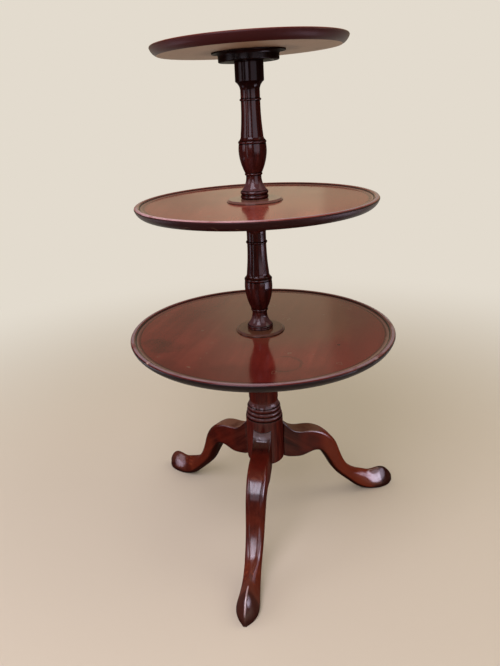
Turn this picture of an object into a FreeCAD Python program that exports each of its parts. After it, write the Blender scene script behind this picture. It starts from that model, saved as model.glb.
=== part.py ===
"""Three-tier dumbwaiter table: dished trays that revolve on a turned column with a tripod base.

Millimetres, +Z up. The origin is on the column's axis at floor level, and the front leg points along -Y.
"""
import FreeCAD
import Part
import Sketcher

import math
import os
import re

Vector = FreeCAD.Vector

SIZES = {
    # Rim crests: the lowest above the floor, each other above the one below it
    "lower_tray_height": 499,
    "middle_tray_rise": 305.5,
    "top_tray_rise": 334.5,
    # Trays: outer radii, then the board and rim section that all three share
    "lower_tray_radius": 305,
    "middle_tray_radius": 270,
    "top_tray_radius": 209,
    "tray_thickness": 21,
    "dish_depth": 5,
    "rim_width": 22,
    "crest_width": 4,
    "nose_width": 5,
    "nose_height": 4.5,
    "edge_undercut": 14,
    # Turned bosses under the trays
    "boss_height": 21,
    "boss_flange_radius": 79,
    "boss_flange_thickness": 3,
    "boss_disc_radius": 65,
    "boss_disc_height": 13,
    "boss_edge": 2.5,
    # Raised collars on the two lower trays
    "lower_collar_radius": 57,
    "middle_collar_radius": 63,
    "collar_thickness": 5.5,
    "collar_edge": 5,
    # Spindles on which the trays turn, and their sockets
    "spindle_radius": 16,
    "socket_depth": 25,
    "spindle_end_room": 1,
    # Pillar of the tripod base
    "pillar_foot_height": 158.5,
    "block_radius": 44.5,
    "block_rise_over_legs": 32.5,
    "block_edge": 6,
    "reed_height": 10.2,
    "reed_step": 2.2,
    "shaft_foot_radius": 35,
    "shaft_neck_radius": 31,
    "shaft_flare": 3,
    "pillar_cap_radius": 41,
    # Lower baluster
    "lower_vase_radius": 32,
    "lower_neck_radius": 21.8,
    "lower_waist_radius": 17.3,
    "lower_foot_radius": 30.5,
    "lower_foot_height": 8,
    # Upper baluster
    "upper_vase_radius": 31,
    "upper_neck_radius": 21,
    "upper_waist_radius": 17.2,
    "upper_foot_radius": 31,
    "upper_foot_height": 17.5,
    # Mouldings that both balusters share
    "waist_bead_height": 6,
    "shoulder_ring_height": 7,
    "shoulder_height": 11,
    "ring_bead_height": 5.5,
    "cove_rise": 18,
    # Cabriole legs, measured from the column's axis and from the floor
    "leg_reach": 357,
    "leg_top_height": 240,
    "leg_width": 42,
    "foot_length": 71,
    "foot_height": 48,
    "foot_width": 48,
    "sole_allowance": 3,
    # Sliding dovetails of the legs
    "tongue_depth": 13,
    "tongue_neck_width": 15,
    "tongue_back_width": 21,
    # Iron brace under the tripod block
    "brace_hub_radius": 29,
    "brace_thickness": 3,
    "brace_arm_width": 20,
    "brace_reach": 88,
    "brace_block_nail_place": 20,
    "brace_leg_nail_place": 74,
    "brace_seat_depth": 15,
    # Fasteners
    "nail_head_radius": 5,
    "nail_head_height": 2,
    "nail_shank_radius": 2,
    "nail_length": 22,
    "screw_circle": 50,
    "screw_head_radius": 5,
    "screw_head_height": 3.4,
    "screw_shank_radius": 2.4,
    "screw_length": 28,
    # Clearances, and how far a cut runs past its face
    "bearing_gap": 0.3,
    "collar_gap": 0.5,
    "running_clearance": 0.1,
    "glue_clearance": 0.05,
    "seat_clearance": 0.4,
    "overrun": 5,
}

# Arc depths, each as a share of half the arc's chord; an inward arc has a minus sign
ROUND_SHARE = math.tan(math.pi / 8)
BEAD_SHARE = 0.5
RING_SHARE = 0.9
NARROW_BEAD_SHARE = 0.8
SOFT_SHARE = 0.22
SLIGHT_SHARE = 0.1
FAINT_SHARE = 0.03
FACET_SHARE = 0.12

# Leg sections from the block to the heel: reach and height of the bottom edge, as shares of leg_reach and
# pillar_foot_height, then the run and rise from there to the top edge, as shares of the leg's depth at the
# block. Width is a share of leg_width.
# The last five shape a section: crest and inset are shares of its width, shoulder and rise of its height,
# and swell is the depth of the arcs beside the crest.
LEG_STATION_SHARES = (
    (0.1345, 0.987, 0.000, 1.061, 1.00, 0.90, 0.025, 0.05, 0.030, ROUND_SHARE),
    (0.1600, 0.968, 0.000, 0.969, 1.00, 0.90, 0.025, 0.05, 0.030, ROUND_SHARE),
    (0.1905, 0.953, 0.000, 0.883, 1.00, 0.88, 0.030, 0.05, 0.030, ROUND_SHARE),
    (0.246, 0.937, 0.025, 0.822, 1.02, 0.84, 0.050, 0.06, 0.040, ROUND_SHARE),
    (0.305, 0.962, 0.110, 0.736, 1.04, 0.76, 0.090, 0.08, 0.060, ROUND_SHARE),
    (0.356, 0.975, 0.209, 0.607, 1.06, 0.62, 0.170, 0.12, 0.090, ROUND_SHARE),
    (0.395, 0.937, 0.307, 0.485, 1.05, 0.52, 0.250, 0.18, 0.140, ROUND_SHARE),
    (0.429, 0.833, 0.380, 0.417, 1.03, 0.46, 0.310, 0.26, 0.220, ROUND_SHARE),
    (0.468, 0.675, 0.356, 0.380, 1.00, 0.42, 0.350, 0.34, 0.310, ROUND_SHARE),
    (0.510, 0.505, 0.319, 0.331, 0.96, 0.38, 0.390, 0.39, 0.360, ROUND_SHARE),
    (0.566, 0.360, 0.270, 0.294, 0.92, 0.32, 0.440, 0.40, 0.380, ROUND_SHARE),
    (0.639, 0.202, 0.221, 0.380, 0.88, 0.24, 0.500, 0.40, 0.360, 0.32),
    (0.717, 0.057, 0.184, 0.540, 0.90, 0.16, 0.580, 0.36, 0.320, 0.22),
)
# Foot sections from the heel to the toe: place along foot_length, height as a share of foot_height
# and width as a share of foot_width, then crest, shoulder, inset, rise and swell as above.
FOOT_STATION_SHARES = (
    (0.10, 0.98, 0.92, 0.08, 0.660, 0.26, 0.240, FACET_SHARE),
    (0.38, 1.00, 1.00, 0.06, 0.740, 0.20, 0.200, FACET_SHARE),
    (0.64, 0.93, 0.90, 0.06, 0.770, 0.20, 0.200, FACET_SHARE),
    (0.85, 0.68, 0.54, 0.06, 0.750, 0.20, 0.240, FACET_SHARE),
    (1.00, 0.32, 0.12, 0.20, 0.600, 0.20, 0.300, FACET_SHARE),
)
ROOT_SHARE = 0.7
# Height of the leg's top inside the block, above leg_top_height, as a share of its depth there
ROOT_RISE_SHARE = 0.27
# Heights of a baluster's mouldings, as shares of its length between its foot and the boss above it
BALUSTER_SHARES = {
    "lower": {"waist": 0.1807, "shoulder": 0.4652, "ring": 0.7829, "cove": 0.8668},
    "upper": {"waist": 0.1954, "shoulder": 0.4359, "ring": 0.7323, "cove": 0.8012},
}
# Heights of the pillar's mouldings, as shares of its shaft's length above the reeds
SHAFT_SHARES = {"flare": 0.12, "ring": 0.68, "neck": 0.74, "cove": 0.82, "cap": 0.91}

doc = FreeCAD.newDocument("dumbwaiter_table")
sheet = doc.addObject("Spreadsheet::Sheet", "Sizes")
for row, (alias, size) in enumerate(SIZES.items(), start=1):
    sheet.set(f"A{row}", alias)
    sheet.set(f"B{row}", str(size))
    sheet.setAlias(f"B{row}", alias)
doc.recompute()

# Heights above the floor that several pieces share
LOWER_CREST = "lower_tray_height"
MIDDLE_CREST = "(lower_tray_height + middle_tray_rise)"
TOP_CREST = "(lower_tray_height + middle_tray_rise + top_tray_rise)"
HUB_HEIGHT = "(tray_thickness + boss_height)"
FLOOR_THICKNESS = "(tray_thickness - dish_depth)"
BORE = "(spindle_radius + running_clearance)"
SOCKET = "(spindle_radius + glue_clearance)"
FOOT_RISE = "(collar_thickness + collar_gap - dish_depth)"
THROUGH_SPINDLE = f"(bearing_gap + boss_height + {FLOOR_THICKNESS} + collar_thickness + collar_gap + socket_depth)"
TOP_SPINDLE = "(bearing_gap + boss_height - spindle_end_room)"


def bound(text):
    """The expression with every size named as a cell of the sheet."""
    return re.sub(r"[a-z_]+", lambda word: f"Sizes.{word[0]}" if word[0] in SIZES else word[0], text)


def value(text):
    """The expression's present value."""
    return float(sheet.evalExpression(bound(text)))


def origin_feature(body, role):
    """One of the body's own base planes or axes."""
    return next(feature for feature in body.Origin.OriginFeatures if feature.Role == role)


def outline(body, plane, name, corners):
    """A closed sketch; a corner is (x, y), or (x, y, share) where an arc of that depth leaves it."""
    sketch = body.newObject("Sketcher::SketchObject", name)
    sketch.AttachmentSupport = (origin_feature(body, plane), [""])
    sketch.MapMode = "FlatFace"
    points = [Vector(value(corner[0]), value(corner[1]), 0) for corner in corners]
    count = len(corners)
    for index, corner in enumerate(corners):
        start = points[index]
        end = points[(index + 1) % count]
        if len(corner) == 2:
            sketch.addGeometry(Part.LineSegment(start, end))
        else:
            half = (end - start) / 2
            middle = start + half + Vector(half.y, -half.x, 0) * corner[2]
            sketch.addGeometry(Part.Arc(start, middle, end))
    for index, corner in enumerate(corners):
        follower = corners[(index + 1) % count]
        # An arc whose circle runs the other way round has its ends swapped
        first = 1 if len(corner) == 2 or corner[2] > 0 else 2
        before = corners[index - 1]
        last = 2 if len(before) == 2 or before[2] > 0 else 1
        sketch.addConstraint(Sketcher.Constraint("Coincident", (index - 1) % count, last, index, first))
        for axis, text in (("DistanceX", corner[0]), ("DistanceY", corner[1])):
            mark = sketch.addConstraint(Sketcher.Constraint(axis, -1, 1, index, first, value(text)))
            sketch.setExpression(f"Constraints[{mark}]", bound(text))
        if len(corner) == 3:
            across = f"(({follower[0]}) - ({corner[0]}))"
            along = f"(({follower[1]}) - ({corner[1]}))"
            factor = (1 + corner[2] ** 2) / (4 * abs(corner[2]))
            radius = f"sqrt({across} * {across} + {along} * {along}) * {factor}"
            mark = sketch.addConstraint(Sketcher.Constraint("Radius", index, value(radius)))
            sketch.setExpression(f"Constraints[{mark}]", bound(radius))
    return sketch


def piece(label, height="0"):
    """A new body whose own zero lies at that height above the floor."""
    body = doc.addObject("PartDesign::Body", label)
    body.Label = label
    body.setExpression("Placement.Base.z", bound(height))
    return body


def turn(body, corners, kind="Revolution", axis="V_Axis"):
    """A turned solid, or a turned cut, whose outline is given as radius and height."""
    sketch = outline(body, "XZ_Plane", f"{body.Name}_{kind}_outline", corners)
    if axis != "V_Axis":
        centre = Vector(value(axis), 0, 0)
        rise = Vector(0, value("tray_thickness"), 0)
        line = sketch.addGeometry(Part.LineSegment(centre, centre + rise), True)
        for end in (1, 2):
            mark = sketch.addConstraint(Sketcher.Constraint("DistanceX", -1, 1, line, end, value(axis)))
            sketch.setExpression(f"Constraints[{mark}]", bound(axis))
    feature = body.newObject(f"PartDesign::{kind}", f"{body.Name}_{kind}")
    feature.Profile = sketch
    feature.ReferenceAxis = (sketch, ["V_Axis" if axis == "V_Axis" else "Axis0"])
    feature.Angle = 360
    return feature


def extrude(body, kind, corners, base, length, name):
    """A pad or pocket of an outline on the level plane, from base upwards by length."""
    sketch = outline(body, "XY_Plane", f"{body.Name}_{name}_outline", corners)
    sketch.setExpression("AttachmentOffset.Base.z", bound(base))
    feature = body.newObject(f"PartDesign::{kind}", f"{body.Name}_{name}")
    feature.Profile = sketch
    feature.setExpression("Length", bound(length))
    feature.Reversed = kind == "Pocket"
    return feature


def around(body, originals, count):
    """Copies of features spread evenly round the body's own upright axis."""
    pattern = body.newObject("PartDesign::PolarPattern", f"{body.Name}_{originals[0].Name}_ring")
    pattern.Originals = originals
    pattern.Axis = (origin_feature(body, "Z_Axis"), [""])
    pattern.Angle = 360
    pattern.Occurrences = count
    body.Tip = pattern
    return pattern


def disc(place, radius):
    """Corners of a round outline with its centre on the X axis."""
    return (
        (f"{place} - {radius}", "0", ROUND_SHARE),
        (place, f"0 - {radius}", ROUND_SHARE),
        (f"{place} + {radius}", "0", ROUND_SHARE),
        (place, radius, ROUND_SHARE),
    )


def screw_corners(base, room):
    """Outline of a countersunk screw, or of its hole when room is its clearance, from its flush face up."""
    head = f"screw_circle + screw_head_radius + {room}"
    shank = f"screw_circle + screw_shank_radius + {room}"
    top = f"{base} + screw_length + {room}"
    return (
        ("screw_circle", base),
        (head, base),
        (shank, f"{base} + screw_head_height"),
        (shank, top),
        ("screw_circle", top),
    )


SCREW_COUNT = 4
LEG_COUNT = 3
REED_COUNT = 3


def tray(name, crest, radius, bore):
    """A tray turned from one board: rounded edge, low rim and dished floor, with screw holes below."""
    body = piece(f"{name}_tray", f"{crest} - tray_thickness")
    inner = f"{radius} - nose_width - crest_width"
    turn(body, (
        (bore, "0"),
        (f"{radius} - edge_undercut", "0", SOFT_SHARE),
        (radius, "tray_thickness - nose_height", ROUND_SHARE),
        (f"{radius} - nose_width", "tray_thickness"),
        (inner, "tray_thickness", -SOFT_SHARE),
        (f"{radius} - rim_width", FLOOR_THICKNESS),
        (bore, FLOOR_THICKNESS),
    ))
    holes = turn(body, screw_corners("0 - boss_height", "glue_clearance"), "Groove", "screw_circle")
    around(body, [holes], SCREW_COUNT)
    return body


def boss(name, crest):
    """The turned boss under a tray: a flange on the board, a hollow moulding and a thick disc."""
    body = piece(f"{name}_tray_boss", f"{crest} - {HUB_HEIGHT}")
    turn(body, (
        (BORE, "0"),
        ("boss_disc_radius - boss_edge", "0", ROUND_SHARE),
        ("boss_disc_radius", "boss_edge"),
        ("boss_disc_radius", "boss_disc_height", -ROUND_SHARE),
        ("boss_flange_radius - boss_edge", "boss_height - boss_flange_thickness"),
        ("boss_flange_radius", "boss_height - boss_flange_thickness"),
        ("boss_flange_radius", "boss_height"),
        (BORE, "boss_height"),
    ))
    holes = turn(body, screw_corners("0", "glue_clearance"), "Groove", "screw_circle")
    around(body, [holes], SCREW_COUNT)
    return body


def boss_screws(name, crest):
    """The countersunk screws that hold a boss to its tray, with their heads flush."""
    body = piece(f"{name}_tray_screws", f"{crest} - {HUB_HEIGHT}")
    body.AllowCompound = True
    one = turn(body, screw_corners("0", "0"), "Revolution", "screw_circle")
    around(body, [one], SCREW_COUNT)
    return body


def collar(name, crest):
    """The raised collar round a baluster's foot, with a rounded edge."""
    radius = f"{name}_collar_radius"
    body = piece(f"{name}_tray_collar", f"{crest} - dish_depth")
    turn(body, (
        (BORE, "0"),
        (radius, "0", SOFT_SHARE),
        (f"{radius} - collar_edge", "collar_thickness"),
        (BORE, "collar_thickness"),
    ))
    return body


def baluster(name, crest_below, crest_above, spindle):
    """A vase baluster from its ringed foot to its cap, with a socket below and a spindle above."""
    size = {part: f"{name}_{part}" for part in (
        "vase_radius", "neck_radius", "waist_radius", "foot_radius", "foot_height")}
    foot = f"({crest_below} + {FOOT_RISE})"
    top = f"({crest_above} - {HUB_HEIGHT} - bearing_gap - {foot})"
    waist, shoulder, ring, cove = (f"({share} * {top})" for share in BALUSTER_SHARES[name].values())
    quirk_share = 0.06
    ring_share = 0.44
    quirk = f"{size['foot_radius']} * (1 - {quirk_share})"
    waist_low = f"{waist} - waist_bead_height"
    shoulder_low = f"{shoulder} - shoulder_ring_height"
    shoulder_top = f"{shoulder} + shoulder_height"
    shoulder_root = f"{size['vase_radius']} * (1 - {quirk_share})"
    taper_share = 1.18
    vase_foot_share = 1.1
    vase_full_share = 0.82
    body = piece(f"{name}_baluster", foot)
    turn(body, (
        (SOCKET, "0"),
        (quirk, "0", BEAD_SHARE),
        (quirk, f"{size['foot_height']} * {ring_share}"),
        (quirk, f"{size['foot_height']} * (1 - {ring_share})", BEAD_SHARE),
        (quirk, size["foot_height"], -SOFT_SHARE),
        (size["waist_radius"], waist_low, NARROW_BEAD_SHARE),
        (size["waist_radius"], waist),
        (f"{size['waist_radius']} * {vase_foot_share}", waist, SLIGHT_SHARE),
        (size["vase_radius"], f"{shoulder} * {vase_full_share}", FAINT_SHARE),
        (f"{size['vase_radius']} * (1 - {FAINT_SHARE})", shoulder_low),
        (shoulder_root, shoulder_low, BEAD_SHARE),
        (shoulder_root, shoulder, -SOFT_SHARE),
        (f"{size['neck_radius']} * {taper_share}", shoulder_top, -FAINT_SHARE),
        (size["neck_radius"], f"{ring} - ring_bead_height / 2", RING_SHARE),
        (size["neck_radius"], f"{ring} + ring_bead_height / 2"),
        (size["neck_radius"], cove, -SOFT_SHARE),
        (size["vase_radius"], f"{cove} + cove_rise"),
        (size["vase_radius"], top),
        ("spindle_radius", top),
        ("spindle_radius", f"{top} + {spindle}"),
        ("0", f"{top} + {spindle}"),
        ("0", "socket_depth"),
        (SOCKET, "socket_depth"),
    ))
    return body


def dovetail(room):
    """Corners of a leg's dovetail seen from above, widened by room on every side."""
    neck = f"tongue_neck_width / 2 + {room}"
    back = f"tongue_back_width / 2 + {room}"
    inner = f"block_radius - tongue_depth - {room}"
    outer = "block_radius + tongue_depth"
    return (
        (inner, f"0 - ({back})"),
        ("block_radius", f"0 - ({neck})"),
        (outer, f"0 - ({neck})"),
        (outer, neck),
        ("block_radius", neck),
        (inner, back),
    )


def pillar(bearing):
    """The pillar: tripod block, three reeds, tapered shaft, cap and spindle, housed for the legs."""
    body = piece("pillar", "pillar_foot_height")
    top = f"({LOWER_CREST} - {HUB_HEIGHT} - bearing_gap - pillar_foot_height)"
    block_top = "(leg_top_height - pillar_foot_height + block_rise_over_legs)"
    reeds = []
    for index in range(REED_COUNT):
        root = f"block_radius - {index} * reed_step - {BEAD_SHARE} * reed_height / 2"
        reeds.append((root, f"{block_top} + {index} * reed_height", BEAD_SHARE))
    reed_top = f"({block_top} + {REED_COUNT} * reed_height)"
    reeds.append((reeds[-1][0], reed_top))
    flare, ring, neck, cove, cap = (
        f"({reed_top} + {share} * ({top} - {reed_top}))" for share in SHAFT_SHARES.values())
    turn(body, (
        ("0", "0"),
        ("block_radius - block_edge", "0", SOFT_SHARE),
        ("block_radius", "block_edge"),
        ("block_radius", block_top),
        *reeds,
        ("shaft_foot_radius + shaft_flare", reed_top, -SOFT_SHARE),
        ("shaft_foot_radius", flare, FAINT_SHARE),
        ("shaft_neck_radius", ring, BEAD_SHARE),
        ("shaft_neck_radius", neck),
        ("shaft_neck_radius", cove, -SOFT_SHARE),
        ("pillar_cap_radius", cap),
        ("pillar_cap_radius", top),
        ("spindle_radius", top),
        ("spindle_radius", f"{top} + {THROUGH_SPINDLE}"),
        ("0", f"{top} + {THROUGH_SPINDLE}"),
    ))
    depth = "leg_top_height - pillar_foot_height + glue_clearance"
    housing = extrude(body, "Pocket", dovetail("glue_clearance"), "0", depth, "housing")
    nail = extrude(
        body, "Pocket", disc("brace_block_nail_place", "(nail_shank_radius + glue_clearance)"), "0",
        "nail_length", "nail_hole")
    around(body, [housing, nail], LEG_COUNT)
    body.Placement = FreeCAD.Placement(body.Placement.Base, FreeCAD.Rotation(Vector(0, 0, 1), bearing))
    return body


def section_corners(width, height, crest, shoulder, inset, rise, swell):
    """Corners of a leg section: flat sides, rounded edges, and a crest that can narrow to a ridge."""
    side = f"{width} / 2"
    edge = f"(1 / 2 - {inset}) * {width}"
    ridge = f"{crest} * {width} / 2"
    low = f"{rise} * {height}"
    high = f"(1 - {shoulder}) * {height}"
    return (
        (edge, "0", ROUND_SHARE),
        (side, low),
        (side, high, swell),
        (ridge, height),
        (f"0 - {ridge}", height, swell),
        (f"0 - {side}", high),
        (f"0 - {side}", low, ROUND_SHARE),
        (f"0 - {edge}", "0"),
    )


def leg_stations():
    """Reach and height of each section's top and bottom, its width, and the shares that shape it."""
    root = f"{ROOT_SHARE} * block_radius"
    first = LEG_STATION_SHARES[0]
    depth = "(leg_top_height - pillar_foot_height)"
    root_top = f"leg_top_height + {ROOT_RISE_SHARE} * {depth}"
    stations = [(root, root_top, root, "pillar_foot_height", "leg_width", *first[5:])]
    for reach_share, low_share, run, rise, width, *form in LEG_STATION_SHARES:
        reach = f"{reach_share} * leg_reach"
        low = f"{low_share} * pillar_foot_height"
        stations.append((
            f"{reach} + {run} * {depth}", f"{low} + {rise} * {depth}", reach, low, f"{width} * leg_width", *form))
    for place, top, width, *form in FOOT_STATION_SHARES:
        reach = f"leg_reach - (1 - {place}) * foot_length"
        stations.append((
            reach, f"{top} * foot_height", reach, "0 - sole_allowance", f"{width} * foot_width", *form))
    return stations


def leg(name, bearing):
    """A cabriole leg: sections lofted along its curve, a flat sole, a dovetail and a seat for the brace."""
    body = piece(f"{name}_leg")
    sections = []
    for index, (reach, top, low_reach, low, width, *form) in enumerate(leg_stations()):
        across = f"(({reach}) - ({low_reach}))"
        along = f"(({top}) - ({low}))"
        height = f"sqrt({across} * {across} + {along} * {along})"
        sketch = outline(body, "YZ_Plane", f"{name}_section_{index}", section_corners(width, height, *form))
        sketch.AttachmentOffset = FreeCAD.Placement(Vector(), FreeCAD.Rotation(Vector(1, 0, 0), 0))
        sketch.setExpression("AttachmentOffset.Base.y", bound(low))
        sketch.setExpression("AttachmentOffset.Base.z", bound(low_reach))
        sketch.setExpression("AttachmentOffset.Rotation.Angle", bound(f"atan2({across}; {along})"))
        sections.append(sketch)
    loft = body.newObject("PartDesign::AdditiveLoft", f"{name}_loft")
    loft.Profile = sections[0]
    loft.Sections = sections[1:]
    doc.recompute()
    past = "(leg_reach + overrun)"
    sole = (
        ("0", "0 - foot_width"),
        (past, "0 - foot_width"),
        (past, "foot_width"),
        ("0", "foot_width"),
    )
    extrude(body, "Pocket", sole, "0 - sole_allowance - overrun", "sole_allowance + overrun", "sole")
    extrude(
        body, "Pocket", disc("0", "(block_radius + glue_clearance)"), "0",
        "leg_top_height + block_rise_over_legs", "shoulder")
    extrude(
        body, "Pad", dovetail("0"), "pillar_foot_height",
        "leg_top_height - pillar_foot_height", "tongue")
    seat_end = "(brace_reach + seat_clearance)"
    seat_side = "(brace_arm_width / 2 + seat_clearance)"
    seat = (
        ("0", f"0 - {seat_side}"),
        (seat_end, f"0 - {seat_side}"),
        (seat_end, seat_side),
        ("0", seat_side),
    )
    extrude(body, "Pocket", seat, "pillar_foot_height - brace_seat_depth", "brace_seat_depth", "brace_seat")
    extrude(
        body, "Pocket", disc("brace_leg_nail_place", "(nail_shank_radius + glue_clearance)"),
        "pillar_foot_height - overrun", "nail_length + overrun", "nail_hole")
    body.Placement = FreeCAD.Placement(Vector(), FreeCAD.Rotation(Vector(0, 0, 1), bearing))
    return body


def brace(bearing):
    """The three-armed iron strap under the block, with nail holes."""
    body = piece("leg_brace", "pillar_foot_height - brace_thickness")
    extrude(body, "Pad", disc("0", "brace_hub_radius"), "0", "brace_thickness", "hub")
    arm = extrude(body, "Pad", (
        ("0", "0 - brace_arm_width / 2"),
        ("brace_reach - brace_arm_width / 2", "0 - brace_arm_width / 2", ROUND_SHARE),
        ("brace_reach", "0", ROUND_SHARE),
        ("brace_reach - brace_arm_width / 2", "brace_arm_width / 2"),
        ("0", "brace_arm_width / 2"),
    ), "0", "brace_thickness", "arm")
    holes = []
    for place in ("brace_block_nail_place", "brace_leg_nail_place"):
        corners = disc(place, "(nail_shank_radius + glue_clearance)")
        holes.append(extrude(
            body, "Pocket", corners, "0 - overrun", "brace_thickness + 2 * overrun", f"{place}_hole"))
    around(body, [arm, *holes], LEG_COUNT)
    body.Placement = FreeCAD.Placement(body.Placement.Base, FreeCAD.Rotation(Vector(0, 0, 1), bearing))
    return body


def brace_nails(bearing):
    """Nails with low domed heads: one through each arm into the block and one into each leg."""
    body = piece("brace_nails", "pillar_foot_height - brace_thickness - nail_head_height")
    body.AllowCompound = True
    nails = []
    for place in ("brace_block_nail_place", "brace_leg_nail_place"):
        nails.append(turn(body, (
            (place, "0"),
            (f"{place} + nail_shank_radius", "0", SOFT_SHARE),
            (f"{place} + nail_head_radius", "nail_head_height"),
            (f"{place} + nail_shank_radius", "nail_head_height"),
            (f"{place} + nail_shank_radius", "nail_head_height + nail_length"),
            (place, "nail_head_height + nail_length"),
        ), "Revolution", place))
    around(body, nails, LEG_COUNT)
    body.Placement = FreeCAD.Placement(body.Placement.Base, FreeCAD.Rotation(Vector(0, 0, 1), bearing))
    return body


def checked(pieces):
    """Stop if an object failed, a cut takes nothing away, or a piece's shape is missing or wrong."""
    doc.recompute()
    for item in doc.Objects:
        if {"Invalid", "Error"} & set(item.State):
            raise RuntimeError(f"{item.Name} failed: {item.State}")
        if item.TypeId in ("PartDesign::Pocket", "PartDesign::Groove"):
            if item.Shape.Volume >= item.BaseFeature.Shape.Volume:
                raise RuntimeError(f"{item.Name} cuts nothing")
    for body in pieces:
        if body.Shape.isNull() or not body.Shape.isValid():
            raise RuntimeError(f"{body.Label} has no valid shape")


FRONT = -90
pieces = [pillar(FRONT)]
for order, side in enumerate(("front", "right", "left")):
    pieces.append(leg(side, FRONT + order * 360 / LEG_COUNT))
pieces.append(brace(FRONT))
pieces.append(brace_nails(FRONT))
pieces.append(baluster("lower", LOWER_CREST, MIDDLE_CREST, THROUGH_SPINDLE))
pieces.append(baluster("upper", MIDDLE_CREST, TOP_CREST, TOP_SPINDLE))
for level, crest in (("lower", LOWER_CREST), ("middle", MIDDLE_CREST), ("top", TOP_CREST)):
    pieces.append(tray(level, crest, f"{level}_tray_radius", "0" if level == "top" else BORE))
    pieces.append(boss(level, crest))
    pieces.append(boss_screws(level, crest))
    if level != "top":
        pieces.append(collar(level, crest))
checked(pieces)

os.makedirs("parts", exist_ok=True)
for body in pieces:
    body.Shape.exportStep(f"parts/{body.Label}.step")
    print(f"{body.Label}: {len(body.Shape.Solids)} solid(s), {body.Shape.Volume / 1000:.1f} cm3")
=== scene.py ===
"""Looks of a three-tier dumbwaiter table: finishes, hand-made fastenings, studio and camera.

Metres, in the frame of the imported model: +Z up along the column, the front leg along -Y, the floor at zero.
"""
import logging
import math
import random
from dataclasses import dataclass, field
from enum import Enum
from typing import Any

import bmesh
import bpy
from mathutils import Matrix, Vector


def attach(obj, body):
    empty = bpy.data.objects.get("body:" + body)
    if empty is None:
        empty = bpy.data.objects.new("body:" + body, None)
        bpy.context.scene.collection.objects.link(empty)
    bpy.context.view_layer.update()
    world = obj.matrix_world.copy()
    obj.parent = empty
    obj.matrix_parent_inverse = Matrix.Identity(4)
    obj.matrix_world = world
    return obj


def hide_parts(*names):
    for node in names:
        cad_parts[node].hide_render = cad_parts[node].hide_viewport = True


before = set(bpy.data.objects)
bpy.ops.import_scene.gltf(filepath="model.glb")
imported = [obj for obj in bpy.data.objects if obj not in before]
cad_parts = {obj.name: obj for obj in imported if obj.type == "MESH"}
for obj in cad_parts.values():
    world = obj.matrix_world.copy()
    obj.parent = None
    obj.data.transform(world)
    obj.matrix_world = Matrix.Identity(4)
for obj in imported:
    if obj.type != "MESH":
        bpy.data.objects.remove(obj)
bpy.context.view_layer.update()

MM = 0.001
# Nearly all of a noise texture lies in this span
NOISE_SPAN = (0.35, 0.65)
NAIL_SEED = 4
NAIL_RING_SEED = 5
log = logging.getLogger("dumbwaiter")


def linear(code: str) -> tuple[float, float, float, float]:
    """Turn an sRGB hex colour into linear light.

    Args:
        code: Colour such as "#6a3426".

    Returns:
        Red, green, blue and a full alpha.
    """
    parts = [int(code[place:place + 2], 16) / 255 for place in (1, 3, 5)]
    lit = [part / 12.92 if part <= 0.04045 else ((part + 0.055) / 1.055) ** 2.4 for part in parts]
    return lit[0], lit[1], lit[2], 1.0


def add(tree: bpy.types.NodeTree, kind: str, inputs: dict[Any, Any] | list[Any] | None = None,
        **settings: Any) -> bpy.types.Node:
    """Add a node with its settings, values and links.

    Args:
        tree: Tree that gets the node.
        kind: Blender's type name for the node.
        inputs: Values, or the output sockets that feed them, in order or by the input's name or number.
        settings: Attributes of the node.

    Returns:
        The new node.
    """
    node = tree.nodes.new(kind)
    for name, value in settings.items():
        setattr(node, name, value)
    given = dict(enumerate(inputs)) if isinstance(inputs, list) else inputs or {}
    for key, value in given.items():
        if isinstance(value, bpy.types.NodeSocket):
            tree.links.new(value, node.inputs[key])
        else:
            node.inputs[key].default_value = value
    return node


class Bearing(Enum):
    """Where each leg points, in degrees from +X towards +Y."""

    FRONT = -90
    RIGHT = 30
    LEFT = 150


class Measure(Enum):
    """What a band of wear or dirt is measured along; lengths are in millimetres."""

    RADIUS = "radius"
    HEIGHT = "height"
    ACROSS = "across"
    ALONG = "along"
    FACING = "facing"

    @property
    def unit(self) -> float:
        """Size of one step of this measure in the shader's own numbers."""
        return 1.0 if self is Measure.FACING else MM


# The measures by their own names, for the bands
RADIUS, HEIGHT, ACROSS, ALONG, FACING = Measure


@dataclass(frozen=True)
class Limits:
    """A window along one measure, with soft ends. Facing runs from -1, straight down, to 1, straight up."""

    measure: Measure
    low: float
    high: float
    soft: float = 1.0


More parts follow.
